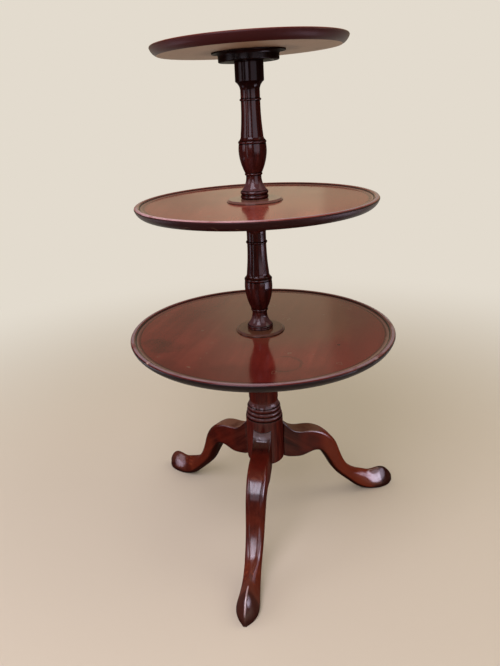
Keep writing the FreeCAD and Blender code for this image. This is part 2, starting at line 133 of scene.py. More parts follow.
@dataclass(frozen=True)
class Band:
    """A place where the polish is worn, dirty or another colour.

    The place is where all its limits hold at once, measured from its centre along its own turned axes. Ragged
    edges wander by that many millimetres, and breakup is the grain of the noise that opens gaps in it. More cover
    closes the gaps.
    """

    limits: tuple[Limits, ...]
    colour: str | None = None
    strength: float = 1.0
    breakup: float = 0.0
    cover: float = 0.5
    centre: tuple[float, float] = (0.0, 0.0)
    turn: float = 0.0
    ragged: float = 0.0
    roughness: float | None = None
    coat: float | None = None
    ragged_grain: float = 2.5
    ragged_reach: float = 4.0
    gap_limits: tuple[float, float] = (0.56, 0.82)
    gap_closing: float = 0.3

    def mask(self, tree: bpy.types.NodeTree, place: bpy.types.NodeSocket) -> bpy.types.NodeSocket:
        """Build the nodes that find the band.

        Args:
            tree: Material's tree.
            place: Object coordinates in metres.

        Returns:
            Socket that is 1 inside the band and 0 outside it.
        """
        spot = place
        if self.ragged:
            grain = self.ragged_grain * self.ragged * MM
            noise = add(tree, "ShaderNodeTexNoise", {"Vector": place, "Scale": 1 / grain, "Detail": 2})
            offset = add(tree, "ShaderNodeVectorMath", [noise.outputs["Color"], (0.5, 0.5, 0.5)],
                         operation="SUBTRACT")
            reach = self.ragged_reach * self.ragged * MM
            spot = add(tree, "ShaderNodeVectorMath", [offset.outputs[0], (reach, reach, reach), place],
                       operation="MULTIPLY_ADD").outputs[0]
        local = add(tree, "ShaderNodeMapping",
                    {"Vector": spot, "Location": (self.centre[0] * MM, self.centre[1] * MM, 0),
                     "Rotation": (0, 0, math.radians(self.turn))}, vector_type="TEXTURE").outputs[0]
        axes = add(tree, "ShaderNodeSeparateXYZ", [local]).outputs
        total: bpy.types.NodeSocket | float = self.strength
        for limit in self.limits:
            if limit.measure is Measure.RADIUS:
                flat = add(tree, "ShaderNodeVectorMath", [local, (1, 1, 0)], operation="MULTIPLY")
                value = add(tree, "ShaderNodeVectorMath", [flat.outputs[0]], operation="LENGTH").outputs["Value"]
            elif limit.measure is Measure.FACING:
                normal = add(tree, "ShaderNodeNewGeometry").outputs["Normal"]
                value = add(tree, "ShaderNodeSeparateXYZ", [normal]).outputs["Z"]
            else:
                value = axes[{Measure.ACROSS: "X", Measure.ALONG: "Y", Measure.HEIGHT: "Z"}[limit.measure]]
            unit = limit.measure.unit
            rise = add(tree, "ShaderNodeMapRange", [value, (limit.low - limit.soft) * unit, limit.low * unit],
                       interpolation_type="SMOOTHSTEP")
            fall = add(tree, "ShaderNodeMapRange", [value, limit.high * unit, (limit.high + limit.soft) * unit, 1, 0],
                       interpolation_type="SMOOTHSTEP")
            both = add(tree, "ShaderNodeMath", [rise.outputs[0], fall.outputs[0]], operation="MULTIPLY")
            total = add(tree, "ShaderNodeMath", [both.outputs[0], total], operation="MULTIPLY").outputs[0]
        if self.breakup:
            noise = add(tree, "ShaderNodeTexNoise", {"Vector": place, "Scale": 1 / (self.breakup * MM), "Detail": 3})
            closed = self.gap_closing * self.cover
            spots = add(tree, "ShaderNodeMapRange",
                        [noise.outputs[0], self.gap_limits[0] - closed, self.gap_limits[1] - closed])
            total = add(tree, "ShaderNodeMath", [total, spots.outputs[0]], operation="MULTIPLY").outputs[0]
        return total


@dataclass(frozen=True)
class PolishedMahogany:
    """French-polished mahogany: long soft figure, fine dark pores, and a wavy hand-rubbed gloss.

    Sizes are in millimetres. Real pores are about 0.2 mm wide, and real fibres finer still; both are drawn coarser
    here so that they show. Dulled is the gloss left in the dullest streaks, and streaks the part that the fibre has
    in them. Ripple is the depth of the hand-rubbed waves, and wave their length.
    """

    name: str
    dark: str
    middle: str
    light: str
    pore: str = "#1a0906"
    turn: tuple[float, float, float] = (0.0, 0.0, 0.0)
    figure: tuple[float, float] = (260.0, 14.0)
    fibre: tuple[float, float] = (34.0, 1.1)
    pores: tuple[float, float] = (16.0, 0.55)
    pore_strength: float = 0.45
    cloud: float = 90.0
    cloud_strength: float = 0.25
    roughness: tuple[float, float] = (0.08, 0.16)
    ior: float = 1.2
    coat: float = 0.0
    coat_roughness: float = 0.2
    coat_ior: float = 1.5
    dulled: float = 0.8
    streaks: float = 0.35
    ripple: float = 0.05
    bands: tuple[Band, ...] = ()
    tone_stops: tuple[float, float, float] = (0.36, 0.5, 0.64)
    pore_limits: tuple[float, float] = (0.60, 0.68)
    fibre_in_tone: float = 0.3
    fibre_in_smear: float = 0.35
    fibre_in_relief: float = 0.12
    wave: float = 28.0
    glossy_facing: tuple[float, float] = (0.1, 0.4)
    glancing_gloss: float = 0.04

    def build(self) -> bpy.types.Material:
        """Build the material.

        Returns:
            The new material.
        """
        material = bpy.data.materials.new(self.name)
        material.use_nodes = True
        tree = material.node_tree
        tree.nodes.clear()
        place = add(tree, "ShaderNodeTexCoord").outputs["Object"]
        grain = add(tree, "ShaderNodeMapping",
                    {"Vector": place, "Rotation": tuple(math.radians(angle) for angle in self.turn)},
                    vector_type="TEXTURE").outputs[0]
        noises = []
        for (length, width), detail, bend in ((self.figure, 4, 0.6), (self.fibre, 3, 0.2), (self.pores, 1, 0.0)):
            lengthwise, crosswise = 1 / (length * MM), 1 / (width * MM)
            scaled = add(tree, "ShaderNodeVectorMath", [grain, (lengthwise, crosswise, crosswise)],
                         operation="MULTIPLY")
            noise = add(tree, "ShaderNodeTexNoise",
                        {"Vector": scaled.outputs[0], "Scale": 1, "Detail": detail, "Distortion": bend})
            noises.append(noise.outputs[0])
        figure, fibre, pores = noises
        blend = add(tree, "ShaderNodeMix", {0: self.fibre_in_tone, 2: figure, 3: fibre}).outputs[0]
        ramp = add(tree, "ShaderNodeValToRGB", [blend])
        ramp.color_ramp.elements[0].position = self.tone_stops[0]
        ramp.color_ramp.elements[0].color = linear(self.dark)
        ramp.color_ramp.elements[1].position = self.tone_stops[2]
        ramp.color_ramp.elements[1].color = linear(self.light)
        ramp.color_ramp.elements.new(self.tone_stops[1]).color = linear(self.middle)
        cloud = add(tree, "ShaderNodeTexNoise",
                    {"Vector": place, "Scale": 1 / (self.cloud * MM), "Detail": 3}).outputs[0]
        shade = add(tree, "ShaderNodeMapRange", [cloud, *NOISE_SPAN, self.cloud_strength, 0]).outputs[0]
        colour = add(tree, "ShaderNodeMix", {0: shade, 6: ramp.outputs[0], 7: linear(self.dark)},
                     data_type="RGBA").outputs[2]
        fleck = add(tree, "ShaderNodeMapRange", [pores, *self.pore_limits, 0, self.pore_strength]).outputs[0]
        colour = add(tree, "ShaderNodeMix", {0: fleck, 6: colour, 7: linear(self.pore)}, data_type="RGBA").outputs[2]
        smear = add(tree, "ShaderNodeMix", {0: self.fibre_in_smear, 2: cloud, 3: fibre}).outputs[0]
        rough = add(tree, "ShaderNodeMapRange", [smear, *NOISE_SPAN, *self.roughness]).outputs[0]
        streak = add(tree, "ShaderNodeMix", {0: self.streaks, 2: cloud, 3: fibre}).outputs[0]
        worn = add(tree, "ShaderNodeMapRange", [streak, *NOISE_SPAN, 1.0, self.dulled]).outputs[0]
        for band in self.bands:
            mask = band.mask(tree, place)
            if band.colour is not None:
                colour = add(tree, "ShaderNodeMix", {0: mask, 6: colour, 7: linear(band.colour)},
                             data_type="RGBA").outputs[2]
            if band.roughness is not None:
                rough = add(tree, "ShaderNodeMix", {0: mask, 2: rough, 3: band.roughness}).outputs[0]
            if band.coat is not None:
                worn = add(tree, "ShaderNodeMix", {0: mask, 2: worn, 3: band.coat}).outputs[0]
        wave = add(tree, "ShaderNodeTexNoise",
                   {"Vector": place, "Scale": 1 / (self.wave * MM), "Detail": 2}).outputs[0]
        relief = add(tree, "ShaderNodeMix", {0: self.fibre_in_relief, 2: wave, 3: fibre}).outputs[0]
        bump = add(tree, "ShaderNodeBump", {"Height": relief, "Distance": self.ripple * MM}).outputs[0]
        shader = add(tree, "ShaderNodeBsdfPrincipled",
                     {"Base Color": colour, "Roughness": rough, "Normal": bump, "IOR": self.ior})
        if self.coat:
            # Old polish keeps its gloss where it is rubbed and is dull at a glancing look
            facing = add(tree, "ShaderNodeLayerWeight", {"Blend": 0.5}).outputs["Facing"]
            gloss = add(tree, "ShaderNodeMapRange",
                        [facing, *self.glossy_facing, self.coat, self.glancing_gloss * self.coat],
                        interpolation_type="SMOOTHSTEP").outputs[0]
            weight = add(tree, "ShaderNodeMath", [gloss, worn], operation="MULTIPLY").outputs[0]
            tree.links.new(weight, shader.inputs["Coat Weight"])
            shader.inputs["Coat Roughness"].default_value = self.coat_roughness
            shader.inputs["Coat IOR"].default_value = self.coat_ior
            tree.links.new(bump, shader.inputs["Coat Normal"])
        add(tree, "ShaderNodeOutputMaterial", [shader.outputs[0]])
        return material


@dataclass(frozen=True)
class OldMetal:
    """Iron or steel that has dulled: a dark skin with rust or dust in its hollows. Sizes are in millimetres."""

    name: str
    skin: str
    bare: str
    rust: str
    patch: float
    pit: float
    roughness: tuple[float, float]
    metallic: float
    tone_stops: tuple[float, float, float] = (0.38, 0.5, 0.66)
    pit_strength: float = 0.6
    pit_depth: float = 0.2

    def build(self) -> bpy.types.Material:
        """Build the material.

        Returns:
            The new material.
        """
        material = bpy.data.materials.new(self.name)
        material.use_nodes = True
        tree = material.node_tree
        tree.nodes.clear()
        place = add(tree, "ShaderNodeTexCoord").outputs["Object"]
        patch = add(tree, "ShaderNodeTexNoise",
                    {"Vector": place, "Scale": 1 / (self.patch * MM), "Detail": 5}).outputs[0]
        pit = add(tree, "ShaderNodeTexNoise", {"Vector": place, "Scale": 1 / (self.pit * MM), "Detail": 2}).outputs[0]
        ramp = add(tree, "ShaderNodeValToRGB", [patch])
        ramp.color_ramp.elements[0].position = self.tone_stops[0]
        ramp.color_ramp.elements[0].color = linear(self.bare)
        ramp.color_ramp.elements[1].position = self.tone_stops[2]
        ramp.color_ramp.elements[1].color = linear(self.rust)
        ramp.color_ramp.elements.new(self.tone_stops[1]).color = linear(self.skin)
        rough = add(tree, "ShaderNodeMapRange", [patch, *NOISE_SPAN, *self.roughness]).outputs[0]
        bump = add(tree, "ShaderNodeBump",
                   {"Height": pit, "Strength": self.pit_strength, "Distance": self.pit_depth * MM}).outputs[0]
        shader = add(tree, "ShaderNodeBsdfPrincipled",
                     {"Base Color": ramp.outputs[0], "Roughness": rough, "Normal": bump, "Metallic": self.metallic})
        add(tree, "ShaderNodeOutputMaterial", [shader.outputs[0]])
        return material


def dress(node: str, material: bpy.types.Material) -> None:
    """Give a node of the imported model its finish.

    Args:
        node: Node's name.
        material: Finish for all of it.
    """
    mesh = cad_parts[node].data
    mesh.materials.clear()
    mesh.materials.append(material)
    log.info("%s: %s", node, material.name)


class RingTree:
    """Geometry Nodes tree that stands copies of one fastening evenly round an upright axis."""

    def __init__(self, name: str) -> None:
        """Build the tree with its named inputs.

        Args:
            name: Name of the tree.
        """
        self.tree = bpy.data.node_groups.new(name, "GeometryNodeTree")
        face = self.tree.interface
        face.new_socket("Geometry", in_out="INPUT", socket_type="NodeSocketGeometry")
        self.sockets: dict[str, str] = {}
        for label, kind in (("Piece", "Object"), ("Count", "Int"), ("Circle", "Float"), ("Height", "Float"),
                            ("Start", "Float"), ("Seed", "Int"), ("Finish", "Material")):
            self.sockets[label] = face.new_socket(label, in_out="INPUT", socket_type=f"NodeSocket{kind}").identifier
        face.new_socket("Geometry", in_out="OUTPUT", socket_type="NodeSocketGeometry")
        given = add(self.tree, "NodeGroupInput").outputs
        ring = add(self.tree, "GeometryNodeMeshCircle", {"Vertices": given["Count"], "Radius": given["Circle"]})
        lift = add(self.tree, "ShaderNodeCombineXYZ", {"Z": given["Height"]})
        start = add(self.tree, "ShaderNodeCombineXYZ", {"Z": given["Start"]})
        placed = add(self.tree, "GeometryNodeTransform",
                     {"Geometry": ring.outputs[0], "Translation": lift.outputs[0], "Rotation": start.outputs[0]})
        spin = add(self.tree, "FunctionNodeRandomValue", {"Seed": given["Seed"], 2: 0.0, 3: math.tau})
        angle = add(self.tree, "ShaderNodeCombineXYZ", {"Z": spin.outputs[1]})
        piece = add(self.tree, "GeometryNodeObjectInfo", {"Object": given["Piece"]})
        copies = add(self.tree, "GeometryNodeInstanceOnPoints",
                     {"Points": placed.outputs[0], "Instance": piece.outputs["Geometry"], "Rotation": angle.outputs[0]})
        real = add(self.tree, "GeometryNodeRealizeInstances", [copies.outputs[0]])
        done = add(self.tree, "GeometryNodeSetMaterial", {"Geometry": real.outputs[0], "Material": given["Finish"]})
        add(self.tree, "NodeGroupOutput", [done.outputs[0]])

    def ring(self, piece: bpy.types.Object, finish: bpy.types.Material, count: int, circle: float, height: float,
             start: float, seed: int) -> bpy.types.Mesh:
        """Make the ring of copies as a plain mesh.

        Args:
            piece: Fastening that is copied.
            finish: Its finish.
            count: Number of copies.
            circle: Radius of the ring in millimetres.
            height: Height of the ring in millimetres.
            start: Bearing of the first copy in degrees.
            seed: Seed of the turns of the copies.

        Returns:
            The copies as one mesh.
        """
        holder = bpy.data.objects.new("ring_holder", bpy.data.meshes.new("ring_holder"))
        bpy.context.scene.collection.objects.link(holder)
        modifier = holder.modifiers.new("ring", "NODES")
        modifier.node_group = self.tree
        for label, value in (("Piece", piece), ("Count", count), ("Circle", circle * MM), ("Height", height * MM),
                             ("Start", math.radians(start)), ("Seed", seed), ("Finish", finish)):
            modifier[self.sockets[label]] = value
        graph = bpy.context.evaluated_depsgraph_get()
        mesh = bpy.data.meshes.new_from_object(holder.evaluated_get(graph))
        holder.modifiers.remove(modifier)
        bpy.data.objects.remove(holder)
        return mesh


def lathe(work: bmesh.types.BMesh, outline: list[tuple[float, float]], steps: int, wobble: float = 0.0,
          seed: int = 1) -> list[list[bmesh.types.BMVert]]:
    """Turn an outline about the Z axis.

    Args:
        work: Mesh that gets the faces.
        outline: Radius and height of each ring, in millimetres.
        steps: Points round each ring.
        wobble: Greatest uneven step of a point, in millimetres.
        seed: Seed of the unevenness.

    Returns:
        The rings of points.
    """
    chance = random.Random(seed)
    rings = []
    for radius, height in outline:
        ring = []
        for step in range(steps):
            angle = math.tau * step / steps
            size = radius + chance.uniform(-wobble, 0)
            rise = height + chance.uniform(0, wobble)
            ring.append(work.verts.new((size * math.cos(angle) * MM, size * math.sin(angle) * MM, rise * MM)))
        rings.append(ring)
    for lower, upper in zip(rings, rings[1:]):
        for step in range(steps):
            after = (step + 1) % steps
            work.faces.new((lower[step], lower[after], upper[after], upper[step]))
    return rings


@dataclass
class Fastenings:
    """Hand-made screws and nails, in millimetres, as the holes in the frame have them."""

    screw_head: float = 4.95
    screw_head_height: float = 3.35
    screw_shank: float = 2.35
    screw_length: float = 27.5
    slot_width: float = 1.3
    slot_length: float = 8.4
    slot_depth: float = 1.2
    screw_rim: float = 0.25
    screw_point: float = 0.4
    screw_taper_share: float = 0.7
    screw_steps: int = 32
    nail_head: float = 4.9
    nail_head_height: float = 1.95
    nail_shank: float = 1.9
    nail_length: float = 21.5
    nail_dome_shares: tuple[tuple[float, float], ...] = ((0.22, 0.0), (0.62, 0.18), (0.92, 0.55), (1.0, 1.0))
    nail_point_share: float = 0.5
    nail_hammering: float = 0.3
    nail_steps: int = 9

    def screw(self) -> bpy.types.Object:
        """Make one countersunk slotted screw, its head's face at zero and its point upwards.

        Returns:
            The screw, a pattern for the rings.
        """
        work = bmesh.new()
        outline = [(self.screw_head, 0.0), (self.screw_head, self.screw_rim),
                   (self.screw_shank, self.screw_head_height),
                   (self.screw_shank, self.screw_length * self.screw_taper_share),
                   (self.screw_point, self.screw_length)]
        rings = lathe(work, outline, self.screw_steps)
        work.faces.new(rings[-1])
        reach, half = self.slot_length / 2, self.slot_width / 2
        corners = ((-reach, -half), (reach, -half), (reach, half), (-reach, half))
        mouth = [work.verts.new((x * MM, y * MM, 0)) for x, y in corners]
        floor = [work.verts.new((x * MM, y * MM, self.slot_depth * MM)) for x, y in corners]
        rim = [work.edges.get((rings[0][step], rings[0][step - 1])) for step in range(self.screw_steps)]
        lip = []
        for step in range(len(corners)):
            after = (step + 1) % len(corners)
            lip.append(work.edges.new((mouth[step], mouth[after])))
            work.faces.new((mouth[step], mouth[after], floor[after], floor[step]))
        work.faces.new(floor)
        bmesh.ops.triangle_fill(work, use_beauty=True, use_dissolve=False, edges=rim + lip)
        return self.finished(work, "screw_pattern")

    def nail(self, seed: int) -> bpy.types.Object:
        """Make one forged nail, its uneven head's top at zero and its point upwards.

        Args:
            seed: Seed of the hammer marks.

        Returns:
            The nail, a pattern for the rings.
        """
        work = bmesh.new()
        head, tall, steps = self.nail_head, self.nail_head_height, self.nail_steps
        dome = [(head * out, tall * up) for out, up in self.nail_dome_shares]
        rings = lathe(work, dome, steps, self.nail_hammering, seed)
        work.faces.new(rings[0])
        spike = [(self.nail_shank, tall), (self.nail_shank * self.nail_point_share, tall + self.nail_length)]
        shank = lathe(work, spike, steps)
        work.faces.new(shank[-1])
        bmesh.ops.bridge_loops(work, edges=[work.edges.get((ring[step], ring[step - 1]))
                                            for ring in (rings[-1], shank[0]) for step in range(steps)])
        return self.finished(work, "nail_pattern")

    @staticmethod
    def finished(work: bmesh.types.BMesh, name: str) -> bpy.types.Object:
        """Close the mesh with its faces outwards and put it in an object.

        Args:
            work: Mesh in the making.
            name: Name of the object.

        Returns:
            The object, linked so that the trees can read it.
        """
        bmesh.ops.recalc_face_normals(work, faces=work.faces)
        mesh = bpy.data.meshes.new(name)
        work.to_mesh(mesh)
        work.free()
        piece = bpy.data.objects.new(name, mesh)
        bpy.context.scene.collection.objects.link(piece)
        return piece


def stand_in_for(name: str, meshes: list[bpy.types.Mesh], node: str, body: str) -> None:
    """Join meshes to one piece that stands in for a node.

    Args:
        name: Name of the piece.
        meshes: Meshes that are joined.
        node: Node that the piece replaces.
        body: Body that it rides on.
    """
    work = bmesh.new()
    for mesh in meshes:
        work.from_mesh(mesh)
    joined = bpy.data.meshes.new(name)
    work.to_mesh(joined)
    work.free()
    for material in meshes[0].materials:
        joined.materials.append(material)
    piece = bpy.data.objects.new(name, joined)
    bpy.context.scene.collection.objects.link(piece)
    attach(piece, body)
    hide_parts(node)
    log.info("%s: %d faces", name, len(joined.polygons))


@dataclass
class Tier:
    """One revolving tray with its boss, screws and, on the two lower ones, its collar, in millimetres."""

    level: str
    radius: float
    crest: float
    grain: float
    collar: bool
    seed: int
    dark: str
    middle: str
    light: str
    stains: tuple[Band, ...] = ()
    polish_ior: float = 1.2
    # Colour of the rim's crest: its wear together with a painted highlight
    worn: str = "#8c7478"
    # Painted highlights on the worn crest
    rubbed: tuple[Band, ...] = ()
    edge: str = "#180c0b"
    collar_tones: tuple[str, str, str] = ("#553325", "#613d2d", "#6d4937")
    thickness: float = 21.0
    dish: float = 5.0
    boss: float = 21.0
    screw_circle: float = 50.0
    screw_count: int = 4
    screw_sink: float = 0.05
    figure: tuple[float, float] = (420.0, 40.0)

    def finish(self) -> PolishedMahogany:
        """Finish the tray's board: worn rim with painted highlight, reflection and shade, dark edge, and a lower face
        painted pale as a reflection.

        Returns:
            The finish.
        """
        edge, crest, bottom = self.radius, self.crest, self.crest - self.thickness
        # The worn crest also carries a painted highlight
        crest_wear_and_highlight = Band((Limits(RADIUS, edge - 8, edge - 3, 0.8),
                           Limits(HEIGHT, crest - 1, crest + 2, 0.6)), self.worn, 0.9, 55, 1.1)
        dark_edge = Band((Limits(RADIUS, edge - 14, edge + 2, 0.5),
                          Limits(HEIGHT, bottom - 2, crest - 2.2, 0.8)), self.edge, 0.95, roughness=0.4)
        # Painted reflection, lilac-brown, on the rim's inner slope
        rim_slope_reflection = Band((Limits(RADIUS, edge - 20, edge - 10),
                          Limits(HEIGHT, crest - 6, crest + 1)), "#5a3834", 0.55, 60, 1.2)
        # Painted shade at the foot of the rim's inner slope
        rim_foot_shade = Band((Limits(RADIUS, edge - 23, edge - 21, 1.5),
                         Limits(HEIGHT, crest - 6, crest - 4)), "#2a110d", 0.6)
        face = Limits(HEIGHT, bottom - 1, bottom + 0.3, 0.2)
        # Painted reflection: the underside is pale where it mirrors the floor and wall
        underside_reflection = Band((Limits(RADIUS, -2, edge - 15), face), "#ab947e", 0.85, roughness=0.55)
        # It is blotched brown at random, and a painted reflection of the boss and column darkens it towards the boss
        blotches = Band(underside_reflection.limits, "#7a614d", 0.55, 45, 0.7, ragged=20)
        boss_and_column_reflection = Band((Limits(RADIUS, -2, 78, 45), face), "#5a4433", 0.5, 30, 1.2)
        return PolishedMahogany(
            f"french_polished_mahogany_{self.level}_tray", self.dark, self.middle, self.light,
            turn=(0, 0, self.grain), figure=self.figure, pore_strength=0.25, cloud=120, cloud_strength=0.6,
            ior=self.polish_ior,
            bands=(*self.stains, rim_slope_reflection, rim_foot_shade, dark_edge, underside_reflection, blotches, boss_and_column_reflection, crest_wear_and_highlight, *self.rubbed))

    def build(self, tree: RingTree, screw: bpy.types.Object, metal: bpy.types.Material,
              turned: bpy.types.Material) -> None:
        """Dress the tier's nodes and make its screws.

        Args:
            tree: Tree for rings of fastenings.
            screw: One screw.
            metal: Finish of the screws.
            turned: Finish of the boss.
        """
        dress(f"{self.level}_tray", self.finish().build())
        dress(f"{self.level}_tray_boss", turned)
        if self.collar:
            floor = self.crest - self.dish
            seam = Band((Limits(HEIGHT, floor - 1, floor + 1.2, 0.8),), "#1c0d0a", 0.9)
            # The lip is a painted highlight on the collar's rounded top edge
            lip = Band((Limits(HEIGHT, floor + 3.6, floor + 5.2, 0.6),
                        Limits(FACING, -1, 0.97, 0.02)), "#5c474a", 0.5, 25, 1.0)
            collar = PolishedMahogany(
                f"french_polished_mahogany_{self.level}_collar", *self.collar_tones, turn=(0, 0, self.grain),
                figure=self.figure, bands=(seam, lip))
            dress(f"{self.level}_tray_collar", collar.build())
        node = f"{self.level}_tray_screws"
        height = self.crest - self.thickness - self.boss
        mesh = tree.ring(screw, metal, self.screw_count, self.screw_circle, height + self.screw_sink, 0, self.seed)
        stand_in_for(f"{self.level}_slotted_screws", [mesh], node, f"{self.level}_tray")


@dataclass
class Column:
    """The turned pillar and its two vase balusters, in millimetres."""

    pillar_quirks: tuple[float, ...] = (272.5, 282.7, 292.9, 303.1)
    lower_quirks: tuple[float, ...] = (500.3, 508.3, 541.4, 547.4, 614.8, 622.0, 702.6, 708.0)
    upper_quirks: tuple[float, ...] = (805.8, 814.2, 823.0, 856.4, 862.4, 925.2, 932.4, 1016.0, 1021.4)
    cove_feet: tuple[float, ...] = (508.0, 822.0)
    cove_height: float = 32.0

    @staticmethod
    def quirk(height: float) -> Band:
        """A dark ring in the groove at that height."""
        return Band((Limits(HEIGHT, height - 0.5, height + 0.5, 1.2),), "#0d0504", 0.85)

    def build(self) -> None:
        """Dress the column's nodes; its top under the top tray is darker with painted shade and has less gloss."""
        painted_drum_shade = Band((Limits(HEIGHT, 1052, 1110, 34),), "#140909", 0.85, coat=0.25)
        # Painted highlights, pale lilac, on the upward faces of the block's reeds and of the coves at the balusters'
        # feet
        dust = Band((Limits(HEIGHT, 270, 316, 4), Limits(FACING, 0.1, 1.2, 0.15)), "#6c5256", 0.5, 25, 1.3)
        upward = Limits(FACING, 0.3, 1.2, 0.2)
        cove_highlights = tuple(Band((Limits(HEIGHT, low, low + self.cove_height, 4), upward), "#6e4f52", 0.4, 25, 1.3)
                      for low in self.cove_feet)
        deep, red = ("#2a0d0b", "#3b1310", "#4f1e18"), ("#381210", "#4d1a15", "#62271e")
        for node, tones, quirks, shift in (("pillar", red, self.pillar_quirks, 0.0),
                                           ("lower_baluster", deep, self.lower_quirks, 40.0),
                                           ("upper_baluster", deep, self.upper_quirks, 75.0)):
            finish = PolishedMahogany(
                f"french_polished_mahogany_{node}", *tones, turn=(0, 90, shift), figure=(150, 9), fibre=(30, 0.9),
                roughness=(0.35, 0.5), ior=1.03, coat=0.9, coat_roughness=0.14, ripple=0.03,
                bands=(painted_drum_shade, dust, *cove_highlights, *(self.quirk(height) for height in quirks)))
            dress(node, finish.build())


@dataclass
class Tripod:
    """Three cabriole legs with the iron brace and its nails, in millimetres and degrees.

    The cove at a leg's root is given by the distance out and the height of its two ends.
    """

    brace_low: float = 155.5
    nail_head_height: float = 2.0
    nail_places: tuple[float, float] = (20.0, 74.0)
    slope: float = 38.0
    cove: tuple[tuple[float, float], tuple[float, float]] = ((49.0, 242.0), (58.5, 231.0))
    arris: float = 28.0
    proud: float = 1.0
    weld: float = 0.01
    sliver: float = 0.05

    def leg(self, bearing: Bearing) -> PolishedMahogany:
        """Finish one leg, its grain running down from the block to the toe.

        Args:
            bearing: Leg that is finished.

        Returns:
            The finish.
        """
        bands = (
            # Reds of the knee, the shin, the ankle and the foot, and the dark sole
            Band((Limits(RADIUS, 100, 152, 25), Limits(HEIGHT, 170, 225, 20)), "#5e1c12", 0.8, 60, 1.0),
            Band((Limits(RADIUS, 175, 262, 30), Limits(HEIGHT, 30, 150, 20)), "#6b2a1a", 0.55, 70, 0.8),
            Band((Limits(RADIUS, 262, 300, 25), Limits(HEIGHT, 15, 70, 15)), "#6c3020", 0.75, 50, 0.9),
            Band((Limits(RADIUS, 290, 365, 15), Limits(HEIGHT, 12, 60, 10)), "#653a2f", 0.6, 40, 1.0),
            Band((Limits(RADIUS, 300, 365, 25), Limits(HEIGHT, -5, 8, 8)), "#2b110d", 0.8),
            # A pale painted highlight in the cove against the block
            Band((Limits(RADIUS, 46, 54, 4), Limits(FACING, 0.25, 1.2, 0.2)), "#7a6970", 0.6, 30, 1.3),
            # The sides are rubbed less than the tops and keep little gloss
            Band((Limits(FACING, -1.2, 0.1, 0.3),), coat=0.25),
            # Painted shade: the undersides, and the root in its housing, are darker
            Band((Limits(FACING, -1.2, -0.35, 0.3),), "#1c0a08", 0.85),
            Band((Limits(RADIUS, 0, 45.5, 0.8),), "#170806", 0.8),
            # Small chips and rubbed spots at the ankle and along the knee's edges
            Band((Limits(RADIUS, 258, 285, 8), Limits(HEIGHT, 38, 75, 5)), "#9a4a2c", 0.6, 6, 0.2),
            Band((Limits(RADIUS, 90, 150, 15), Limits(FACING, 0.45, 0.8, 0.1)), "#8a4a30", 0.55, 8, 0.25),
        )
        # The front leg has a toe darkened as painted shade, a painted highlight along its rubbed ridge, and dull places
        # at the ankle's right and on the upper shin.
        # The tops of the two back legs are lightened as a painted highlight, and the right one is redder at the shin
        # and its toe is darkened as painted shade.
        top = (Limits(RADIUS, 62, 140, 15), Limits(FACING, 0.75, 1.2, 0.15))
        own = {
            Bearing.FRONT: (
                Band((Limits(RADIUS, 318, 365, 10),), "#3a1e19", 0.7),
                Band((Limits(ACROSS, -0.8, 0.8, 1.3), Limits(RADIUS, 306, 350, 6),
                      Limits(FACING, 0.1, 1.2, 0.2)), "#c4a8a8", 0.8, 30, 1.4),
                Band((Limits(RADIUS, 246, 300, 10), Limits(ACROSS, 4, 40, 3)), coat=0.2),
                Band((Limits(RADIUS, 180, 202, 5), Limits(HEIGHT, 100, 180, 10)), coat=0.2),
            ),
            Bearing.LEFT: (Band(top, "#966c59", 0.8, 50, 1.3),),
            Bearing.RIGHT: (
                Band(top, "#7b5948", 0.8, 50, 1.3),
                Band((Limits(RADIUS, 160, 280, 25), Limits(FACING, -0.2, 1.2, 0.2)), "#7d3421", 0.6, 60, 1.2),
                Band((Limits(RADIUS, 319, 365, 5),), "#2a110d", 0.75, coat=0.2),
            ),
        }
        return PolishedMahogany(
            f"french_polished_mahogany_{bearing.name.lower()}_leg", "#2e0e0b", "#3e1510", "#4f2018",
            turn=(0, self.slope, bearing.value), figure=(190, 11), fibre=(48, 2.2), roughness=(0.35, 0.5), ior=1.03,
            coat=1.0, coat_roughness=0.18, coat_ior=1.9, dulled=0.5, streaks=0.8, ripple=0.08,
            bands=bands + own[bearing])

    def eased(self, bearing: Bearing) -> bpy.types.Mesh:
        """Copy a leg and ease its root, where the dovetail's end stands proud of the cove.

        Args:
            bearing: Leg that is copied.

        Returns:
            The copy, smooth up to its arrises.
        """
        mesh = bpy.data.meshes.new(f"{bearing.name.lower()}_eased_leg")
        work = bmesh.new()
        work.from_mesh(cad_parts[f"{bearing.name.lower()}_leg"].data)
        bmesh.ops.remove_doubles(work, verts=work.verts, dist=self.weld * MM)
        turn = math.radians(bearing.value)
        (near, high), (far, low) = self.cove
        for vert in work.verts:
            along = (vert.co.x * math.cos(turn) + vert.co.y * math.sin(turn)) / MM
            line = high + (low - high) * (along - near) / (far - near)
            if near < along < far and vert.co.z / MM > line + self.proud:
                vert.co.z = line * MM
        bmesh.ops.dissolve_degenerate(work, edges=work.edges, dist=self.sliver * MM)
        work.to_mesh(mesh)
        work.free()
        mesh.shade_smooth()
        mesh.set_sharp_from_angle(angle=math.radians(self.arris))
        return mesh

    def build(self, tree: RingTree, nail: bpy.types.Object, iron: bpy.types.Material) -> None:
        """Dress the legs and the brace, and make the nails.

        Args:
            tree: Tree for rings of fastenings.
            nail: One nail.
            iron: Finish of the brace and the nails.
        """
        for bearing in Bearing:
            side = bearing.name.lower()
            polish, mesh = self.leg(bearing).build(), self.eased(bearing)
            dress(f"{side}_leg", polish)
            mesh.materials.append(polish)
            stand_in_for(f"{side}_cabriole_leg", [mesh], f"{side}_leg", "base")
        dress("leg_brace", iron)
        height = self.brace_low - self.nail_head_height
        rings = [tree.ring(nail, iron, len(Bearing), place, height, Bearing.FRONT.value, NAIL_RING_SEED + order)
                 for order, place in enumerate(self.nail_places)]
        stand_in_for("forged_brace_nails", rings, "brace_nails", "base")


